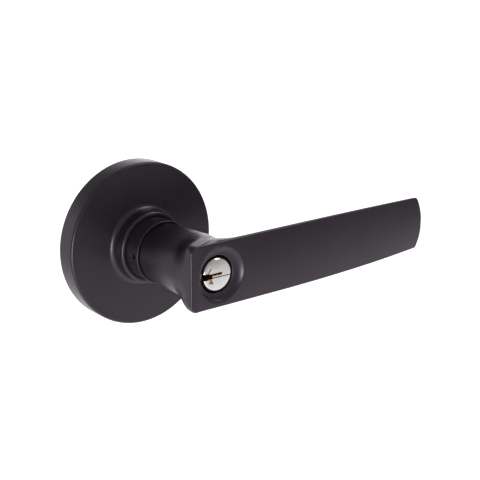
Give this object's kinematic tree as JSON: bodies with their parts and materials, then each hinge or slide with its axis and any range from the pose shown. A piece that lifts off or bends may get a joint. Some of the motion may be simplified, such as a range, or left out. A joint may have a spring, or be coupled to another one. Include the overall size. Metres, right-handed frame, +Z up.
{
  "type": "lever handle lockset",
  "caption": "Outside half of a keyed door lever set: round rose, straight flat-faced lever with a pin tumbler cylinder, half-round drive spindle and threaded posts.",
  "frame": {"origin": "centre of the rose's back rim, on the spindle's axis, in the plane of the door's face", "axes": "+X along the lever towards its tip, +Y into the door along the spindle, +Z up"},
  "size_m": [0.1657, 0.0995, 0.0762],
  "materials": {
    "black_coat": "matte black powder coat with a faint warm purple cast",
    "chrome": "bright plated",
    "brass": "machined",
    "zinc_plate": "zinc plated pressed steel",
    "steel": "turned, lightly oiled",
    "spring_steel": "bright drawn wire",
    "nylon": "moulded natural nylon"
  },
  "bodies": {
    "rose": {"rose_cover": "black_coat", "collar": "black_coat", "mounting_plate": "zinc_plate", "upper_mounting_post": "steel", "lower_mounting_post": "steel", "spindle_bushing": "nylon", "thrust_washer": "steel", "return_spring": "spring_steel"},
    "handle": {"lever": "black_coat", "spindle": "steel", "cam_plate": "zinc_plate", "circlip": "spring_steel", "catch_bridge": "steel", "catch_spring": "spring_steel", "cylinder_housing": "brass", "pin_cover": "brass", "cylinder_spacer": "steel", "pin_spring_1": "spring_steel", "pin_spring_2": "spring_steel", "pin_spring_3": "spring_steel", "pin_spring_4": "spring_steel", "pin_spring_5": "spring_steel"},
    "catch": {"lever_catch": "steel"},
    "plug": {"plug": "chrome", "plug_clip": "spring_steel", "tailpiece": "zinc_plate"},
    "driver_pin_1": {"driver_pin_1": "brass"},
    "driver_pin_2": {"driver_pin_2": "brass"},
    "driver_pin_3": {"driver_pin_3": "brass"},
    "driver_pin_4": {"driver_pin_4": "brass"},
    "driver_pin_5": {"driver_pin_5": "brass"},
    "bottom_pin_1": {"bottom_pin_1": "brass"},
    "bottom_pin_2": {"bottom_pin_2": "brass"},
    "bottom_pin_3": {"bottom_pin_3": "brass"},
    "bottom_pin_4": {"bottom_pin_4": "brass"},
    "bottom_pin_5": {"bottom_pin_5": "brass"}
  },
  "joints": [
    {"name": "lever_turn", "type": "hinge", "parent": "rose", "child": "handle", "pos_m": [0, -0.03, 0], "axis": [0, 1, 0], "range_deg": [-50, 50], "stiffness_Nm_per_rad": 2.5, "springref_deg": -3.44, "deforming": ["return_spring"]},
    {"name": "catch_slide", "type": "slide", "parent": "handle", "child": "catch", "axis": [1, 0, 0], "range_m": [0, 0.0019], "stiffness_N_per_m": 250, "deforming": ["catch_spring"]},
    {"name": "plug_turn", "type": "hinge", "parent": "handle", "child": "plug", "pos_m": [0, -0.052, 0], "axis": [0, 1, 0], "range_deg": [-90, 90]},
    {"name": "driver_pin_1_lift", "type": "slide", "parent": "handle", "child": "driver_pin_1", "axis": [1, 0, 0], "range_m": [0, 0.001], "stiffness_N_per_m": 150, "deforming": ["pin_spring_1"]},
    {"name": "driver_pin_2_lift", "type": "slide", "parent": "handle", "child": "driver_pin_2", "axis": [1, 0, 0], "range_m": [0, 0.001], "stiffness_N_per_m": 150, "deforming": ["pin_spring_2"]},
    {"name": "driver_pin_3_lift", "type": "slide", "parent": "handle", "child": "driver_pin_3", "axis": [1, 0, 0], "range_m": [0, 0.001], "stiffness_N_per_m": 150, "deforming": ["pin_spring_3"]},
    {"name": "driver_pin_4_lift", "type": "slide", "parent": "handle", "child": "driver_pin_4", "axis": [1, 0, 0], "range_m": [0, 0.001], "stiffness_N_per_m": 150, "deforming": ["pin_spring_4"]},
    {"name": "driver_pin_5_lift", "type": "slide", "parent": "handle", "child": "driver_pin_5", "axis": [1, 0, 0], "range_m": [0, 0.001], "stiffness_N_per_m": 150, "deforming": ["pin_spring_5"]},
    {"name": "bottom_pin_1_drop", "type": "slide", "parent": "plug", "child": "bottom_pin_1", "axis": [-1, 0, 0], "range_m": [0, 0.002]},
    {"name": "bottom_pin_2_drop", "type": "slide", "parent": "plug", "child": "bottom_pin_2", "axis": [-1, 0, 0], "range_m": [0, 0.0012]},
    {"name": "bottom_pin_3_drop", "type": "slide", "parent": "plug", "child": "bottom_pin_3", "axis": [-1, 0, 0], "range_m": [0, 0.0028]},
    {"name": "bottom_pin_4_drop", "type": "slide", "parent": "plug", "child": "bottom_pin_4", "axis": [-1, 0, 0], "range_m": [0, 0.0016]},
    {"name": "bottom_pin_5_drop", "type": "slide", "parent": "plug", "child": "bottom_pin_5", "axis": [-1, 0, 0], "range_m": [0, 0.0024]}
  ],
  "couplings": [
    {"joint": "driver_pin_2_lift", "follows": "driver_pin_1_lift", "ratio": 1},
    {"joint": "driver_pin_3_lift", "follows": "driver_pin_1_lift", "ratio": 1},
    {"joint": "driver_pin_4_lift", "follows": "driver_pin_1_lift", "ratio": 1},
    {"joint": "driver_pin_5_lift", "follows": "driver_pin_1_lift", "ratio": 1},
    {"joint": "bottom_pin_2_drop", "follows": "bottom_pin_1_drop", "ratio": 0.6},
    {"joint": "bottom_pin_3_drop", "follows": "bottom_pin_1_drop", "ratio": 1.4},
    {"joint": "bottom_pin_4_drop", "follows": "bottom_pin_1_drop", "ratio": 0.8},
    {"joint": "bottom_pin_5_drop", "follows": "bottom_pin_1_drop", "ratio": 1.2}
  ]
}
